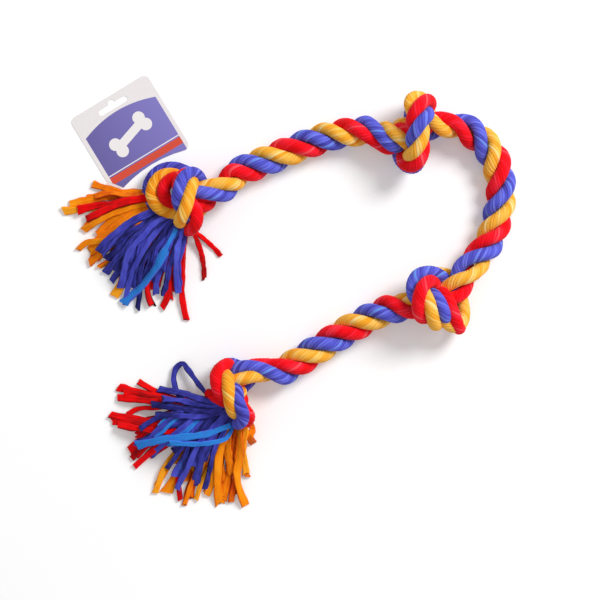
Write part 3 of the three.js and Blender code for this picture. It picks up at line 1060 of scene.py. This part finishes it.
UPPER_STRIPS = (
    *tips(Colour.YELLOW, (173, 88), (186, 68), (200, 76), (211, 73), (219, 68), (242, 80)),
    *tips(Colour.RED, (268, 78), (275, 82), (288, 96)),
    *tips(Colour.BLUE, (207, 58), (226, 67), (235, 69), (242, 70)),
    *tips(Colour.BLUE, (250, 83), (258, 83), (277, 70), (289, 71)),
)
UPPER_FILLINGS = {
    Colour.YELLOW: Filling(166, 238, 24),
    Colour.RED: Filling(258, 292, 9),
    Colour.BLUE: Filling(212, 288, 16),
}
UPPER_LOOSE = (
    LooseStrip(Colour.YELLOW, ((-124, 88), (-138, 91), (-158, 91.5), (-172, 95), (-187, 99.5)), 6.6, 0.5),
    LooseStrip(Colour.YELLOW, ((-124, 86), (-140, 88), (-158, 89), (-172, 91), (-185, 88)), 6.2, 0.4),
    LooseStrip(Colour.RED, ((-122, 87), (-147, 85), (-168, 80.5), (-186, 78.5), (-201, 75)), 7.0, 0.5),
    LooseStrip(Colour.RED, ((-122, 85), (-150, 83), (-168, 77.5), (-181, 71.5), (-192.5, 67)), 7.0, 0.45),
    LooseStrip(Colour.RED, ((-94, 58), (-82, 48), (-72, 39), (-65, 31)), 4.6, 0.6),
    LooseStrip(Colour.RED, ((-93, 58), (-86, 41), (-82, 25), (-81, 11)), 5.2, 0.5),
    LooseStrip(Colour.BLUE, ((-106, 56), (-117, 35), (-135, 8), (-158, -14)), 8.6, 1.3),
)
LOWER_STRIPS = (
    *tips(Colour.YELLOW, (238, 95), (245, 90), (257, 94), (264, 88), (271, 84)),
    *tips(Colour.YELLOW, (278, 91), (285, 93), (291, 100), (324, 56)),
    *tips(Colour.RED, (206, 75), (210, 84), (214, 86), (219, 88)),
    *tips(Colour.BLUE, (209, 75), (221, 70), (237, 69), (251, 82), (262, 74), (269, 77)),
)
LOWER_FILLINGS = {
    Colour.YELLOW: Filling(240, 305, 18),
    Colour.RED: Filling(192, 222, 12),
    Colour.BLUE: Filling(198, 268, 18),
}
HIGH_LOOP = (
    (-75, -104), (-86, -91), (-96, -78), (-102, -71), (-107, -75), (-110, -85), (-107, -98), (-100, -108),
)
LOWER_LOOSE = (
    LooseStrip(Colour.RED, ((-70, -108), (-98, -106), (-122, -101), (-143, -89.5)), 5.6, 0.45),
    LooseStrip(Colour.RED, ((-70, -110), (-104, -107), (-134, -101), (-163.5, -94)), 6.4, 0.55),
    LooseStrip(Colour.RED, ((-70, -111), (-104, -108.5), (-130, -104), (-158, -99)), 5.6, 0.35),
    LooseStrip(Colour.RED, ((-70, -112), (-104, -110), (-134, -107), (-163.5, -104)), 6.4, 0.5),
    LooseStrip(
        Colour.RED, ((-75, -112), (-105, -112), (-130, -113.5), (-146, -115.5), (-154, -120)), 4.6, 0.5
    ),
    LooseStrip(
        Colour.RED, ((-62, -118), (-88, -127), (-120, -127), (-150, -124), (-171, -120.5)), 7.0, 0.5
    ),
    LooseStrip(
        Colour.RED, ((-62, -119), (-88, -129.5), (-120, -131), (-150, -129), (-168, -127)), 7.0, 0.4
    ),
    LooseStrip(Colour.RED, ((-62, -120), (-88, -132), (-118, -136), (-146, -133), (-163, -130)), 6.0, 0.5),
    LooseStrip(Colour.RED, ((-70, -130), (-94, -158), (-105, -177), (-104, -202)), 5.0, 0.5),
    LooseStrip(Colour.BLUE, ((-60, -116), (-80, -121), (-104, -120), (-126, -119.5)), 6.0, 0.45),
    LooseStrip(Colour.BLUE, ((-60, -113), (-78, -116), (-104, -113), (-129, -110.5)), 6.4, 0.35),
    LooseStrip(Colour.BLUE, ((-60, -111), (-78, -110.5), (-98, -107), (-118, -105)), 6.0, 0.5),
    LooseStrip(Colour.BLUE, ((-60, -109), (-80, -105), (-100, -99.5), (-123.5, -96)), 6.2, 0.55),
    LooseStrip(Colour.BLUE, ((-55, -129), (-77, -137), (-120, -143), (-144, -149)), 7.2, 1.3),
    LooseStrip(Colour.BLUE, ((-52, -127), (-59, -141), (-77, -146), (-112, -146)), 5.0, 1.3),
    LooseStrip(Colour.BLUE, HIGH_LOOP, under=True),
)


@dataclass(frozen=True)
class CardFinish:
    """Card board, bare or printed with a violet field, an orange band, a white line and a white bone.

    The print's sizes are in the card's own millimetres, across and up from its lower left corner.
    """

    corner: Plan = (-167.4 * MM, 90.93 * MM)
    angle: float = math.radians(31.3)
    width: float = 86.0
    white: Rgba = srgb(238, 233, 233)
    shaded_white: Rgba = srgb(228, 222, 222)
    # The violet field, painted darker on its left and lighter on its right as shade across the bent card
    field_shaded_side: Rgba = srgb(99, 90, 157)
    field_lit_side: Rgba = srgb(127, 120, 194)
    band_colour: Rgba = srgb(214, 70, 44)
    field_top: float = 66.0
    field_arch: float = 0.005
    margin: float = 4.0
    band: Range = (7.0, 14.0)
    line: Range = (15.2, 16.2)
    bone_height: float = 40.0
    bone_tilt: float = math.radians(18)
    bone_half: float = 17.0
    shaft_half: float = 4.2
    knob_offset: float = 4.6
    knob_radius: float = 6.0
    printed_above: float = 0.3 * MM
    pulp_scale: float = 420.0
    pulp_detail: float = 4.0
    pulp_bump: float = 0.25
    pulp_depth: float = 0.0002
    roughness: float = 0.62
    pulp_gloss: float = 0.2
    printed_roughness: float = 0.5
    printed_gloss: float = 0.15
    varnish: float = 0.15
    varnish_roughness: float = 0.3

    def board(self, graph: Graph) -> tuple[Wire, Wire, Wire]:
        """Adds the fine pulp grain of the board.

        Args:
            graph: the material's node tree.
        Returns:
            The grain from 0 to 1, the board's colour, and a bump that follows the grain.
        """
        place = graph.node("ShaderNodeTexCoord", None, None, "Object")
        noise = {"Vector": place, "Scale": self.pulp_scale, "Detail": self.pulp_detail}
        grain = graph.node("ShaderNodeTexNoise", None, noise)
        relief = {"Strength": self.pulp_bump, "Distance": self.pulp_depth, "Height": grain}
        colour = graph.mix(grain, self.shaded_white, self.white)
        return grain, colour, graph.node("ShaderNodeBump", None, relief)

    def bare(self) -> bpy.types.Material:
        """Builds the finish of the board without print.

        Returns:
            The material.
        """
        graph = Graph("white_card")
        grain, colour, bump = self.board(graph)
        roughness = self.roughness - grain * self.pulp_gloss
        return graph.finish({"Base Color": colour, "Roughness": roughness, "Normal": bump})

    def bone(self, across: Wire, up: Wire) -> Wire:
        """Draws the bone.

        Args:
            across: the place across from the card's middle.
            up: the place up the card.
        Returns:
            A mask that is 1 on the bone.
        """
        cosine = math.cos(self.bone_tilt)
        sine = math.sin(self.bone_tilt)
        above = up - self.bone_height
        length = abs(across * cosine + above * sine)
        breadth = abs(above * cosine - across * sine)
        shaft = (length < self.bone_half) * (breadth < self.shaft_half)
        from_knob = (length - self.bone_half) ** 2.0 + (breadth - self.knob_offset) ** 2.0
        return shaft | (from_knob < self.knob_radius**2)

    def printed(self) -> bpy.types.Material:
        """Builds the finish of the printed side.

        Returns:
            The material.
        """
        graph = Graph("printed_card")
        place = graph.node("ShaderNodeTexCoord", None, None, "Object")
        axes = (graph.node("ShaderNodeSeparateXYZ", None, {0: place}, axis) for axis in "XYZ")
        east, north, height = axes
        east = east - self.corner[0]
        north = north - self.corner[1]
        cosine = math.cos(self.angle) / MM
        sine = math.sin(self.angle) / MM
        across = east * cosine + north * sine
        up = north * cosine - east * sine
        from_middle = across - 0.5 * self.width
        aside = abs(from_middle)
        head = self.field_top - aside * aside * self.field_arch
        field = (up < head) * (aside < 0.5 * self.width - self.margin)
        # Painted shade: the violet field darkens from its right side to its left
        colour = graph.mix(across * (1 / self.width), self.field_shaded_side, self.field_lit_side)
        colour = graph.mix((up > self.band[0]) * (up < self.band[1]), colour, self.band_colour)
        line = (up > self.line[0]) * (up < self.line[1])
        colour = graph.mix(self.bone(from_middle, up) | line, colour, self.white)
        grain, board, bump = self.board(graph)
        return graph.finish({
            "Base Color": graph.mix(field * (height > self.printed_above), board, colour),
            "Roughness": self.printed_roughness - grain * self.printed_gloss,
            "Coat Weight": self.varnish,
            "Coat Roughness": self.varnish_roughness,
            "Normal": bump,
        })


@dataclass
class HangCard:
    """The printed card and its tail, which keep their CAD solids."""

    finish: CardFinish = CardFinish()

    @staticmethod
    def dress(node: str, material: bpy.types.Material, slot: str) -> None:
        """Gives a CAD node its finish.

        Args:
            node: the node's name.
            material: its finish.
            slot: the record's name for that finish; not used.
        """
        piece = frame["nodes"][node]
        piece.data.materials.clear()
        piece.data.materials.append(material)
        LOG.info("%s dressed", node)

    def build(self) -> None:
        """Dresses both pieces."""
        self.dress("hang_card", self.finish.printed(), "printed_card")
        self.dress("card_tail", self.finish.bare(), "white_card")


@dataclass
class Studio:
    """White ground, soft light from the upper right, and a camera straight above."""

    centre: Plan = (10.45 * MM, -10.93 * MM)
    view_width: float = 570 * MM
    camera_height: float = 2.4
    rope_height: float = 15 * MM
    sensor: float = 36.0
    view_end: float = 20.0
    lamp_place: tuple[float, float, float] = (2.1, 1.8, 2.5)
    lamp_size: float = 1.5
    lamp_power: float = 112.0
    room_light: float = 0.52
    ground_half: float = 4.0
    ground_colour: Rgba = (0.86, 0.86, 0.86, 1.0)
    ground_glow: float = 0.17

    def floor(self) -> None:
        """Lays the white ground."""
        graph = Graph("white_ground")
        ray = graph.node("ShaderNodeLightPath", None, None, "Is Camera Ray")
        surface = graph.node("ShaderNodeBsdfDiffuse", None, {"Color": self.ground_colour})
        glow = graph.node("ShaderNodeEmission", None, {"Color": WHITE, "Strength": ray * self.ground_glow})
        both = graph.node("ShaderNodeAddShader", None, {0: surface, 1: glow})
        bm = bmesh.new()
        bmesh.ops.create_grid(bm, x_segments=1, y_segments=1, size=self.ground_half)
        placed(bm, "ground", graph.end(both))

    def light(self) -> None:
        """Sets the key light and the even light of the room."""
        key = bpy.data.lights.new("key", "AREA")
        key.shape = "DISK"
        key.size = self.lamp_size
        key.energy = self.lamp_power
        lamp = bpy.data.objects.new("key", key)
        lamp.location = self.lamp_place
        lamp.rotation_euler = (-Vector(self.lamp_place)).to_track_quat("-Z", "Y").to_euler()
        bpy.context.scene.collection.objects.link(lamp)
        world = bpy.data.worlds.new("room")
        world.use_nodes = True
        background = world.node_tree.nodes["Background"]
        background.inputs["Color"].default_value = WHITE
        background.inputs["Strength"].default_value = self.room_light
        bpy.context.scene.world = world

    def camera(self) -> None:
        """Places the camera over the middle of the view."""
        lens = bpy.data.cameras.new("camera")
        lens.sensor_width = self.sensor
        lens.lens = self.sensor * (self.camera_height - self.rope_height) / self.view_width
        lens.clip_end = self.view_end
        eye = bpy.data.objects.new("camera", lens)
        eye.location = (*self.centre, self.camera_height)
        bpy.context.scene.collection.objects.link(eye)
        bpy.context.scene.camera = eye

    def build(self) -> None:
        """Builds the whole studio."""
        self.floor()
        self.light()
        self.camera()
        bpy.context.scene.view_settings.view_transform = "Standard"


STRAND_FINISHES = {
    Colour.YELLOW: FabricFinish(
        Colour.YELLOW, srgb(243, 138, 10), srgb(252, 178, 50), srgb(255, 204, 104), srgb(255, 222, 150)
    ),
    Colour.RED: FabricFinish(
        Colour.RED, srgb(222, 0, 4), srgb(248, 4, 24), srgb(255, 34, 58), srgb(255, 84, 92)
    ),
    Colour.BLUE: FabricFinish(
        Colour.BLUE, srgb(60, 52, 150), srgb(86, 90, 208), srgb(116, 122, 236), srgb(104, 150, 234)
    ),
}
STRIP_CREASE_SHADE_AND_MOTTLE = 0.6
STRIP_FINISHES = {
    Colour.YELLOW: FabricFinish(
        Colour.YELLOW, srgb(206, 66, 0), srgb(250, 130, 2), srgb(255, 152, 10), srgb(255, 166, 32),
        "strip", STRIP_CREASE_SHADE_AND_MOTTLE,
    ),
    Colour.RED: FabricFinish(
        Colour.RED, srgb(150, 0, 6), srgb(240, 0, 4), srgb(255, 2, 14), srgb(255, 26, 50),
        "strip", STRIP_CREASE_SHADE_AND_MOTTLE,
    ),
    Colour.BLUE: FabricFinish(
        Colour.BLUE, srgb(28, 28, 92), srgb(66, 68, 182), srgb(86, 92, 214), srgb(48, 134, 226),
        "strip", STRIP_CREASE_SHADE_AND_MOTTLE,
    ),
}


def main() -> None:
    """Builds the toy and the studio."""
    for seed, colour in enumerate(Colour, start=1):
        Strand(STRAND_FINISHES[colour], seed).build()
    Tassel(
        name="upper",
        knot_body="upper_end",
        fan=(-128.25 * MM, 63.2 * MM),
        apex=(-93 * MM, 92 * MM),
        start=29 * MM,
        strips=UPPER_STRIPS,
        loose=UPPER_LOOSE,
        fillings=UPPER_FILLINGS,
        seed=11,
    ).build(STRIP_FINISHES)
    Tassel(
        name="lower",
        knot_body="lower_end",
        fan=(-78.85 * MM, -113.5 * MM),
        apex=(-40.9 * MM, -92.6 * MM),
        start=22 * MM,
        strips=LOWER_STRIPS,
        loose=LOWER_LOOSE,
        fillings=LOWER_FILLINGS,
        seed=12,
    ).build(STRIP_FINISHES)
    HangCard().build()
    Studio().build()


if __name__ == "__main__":
    main()
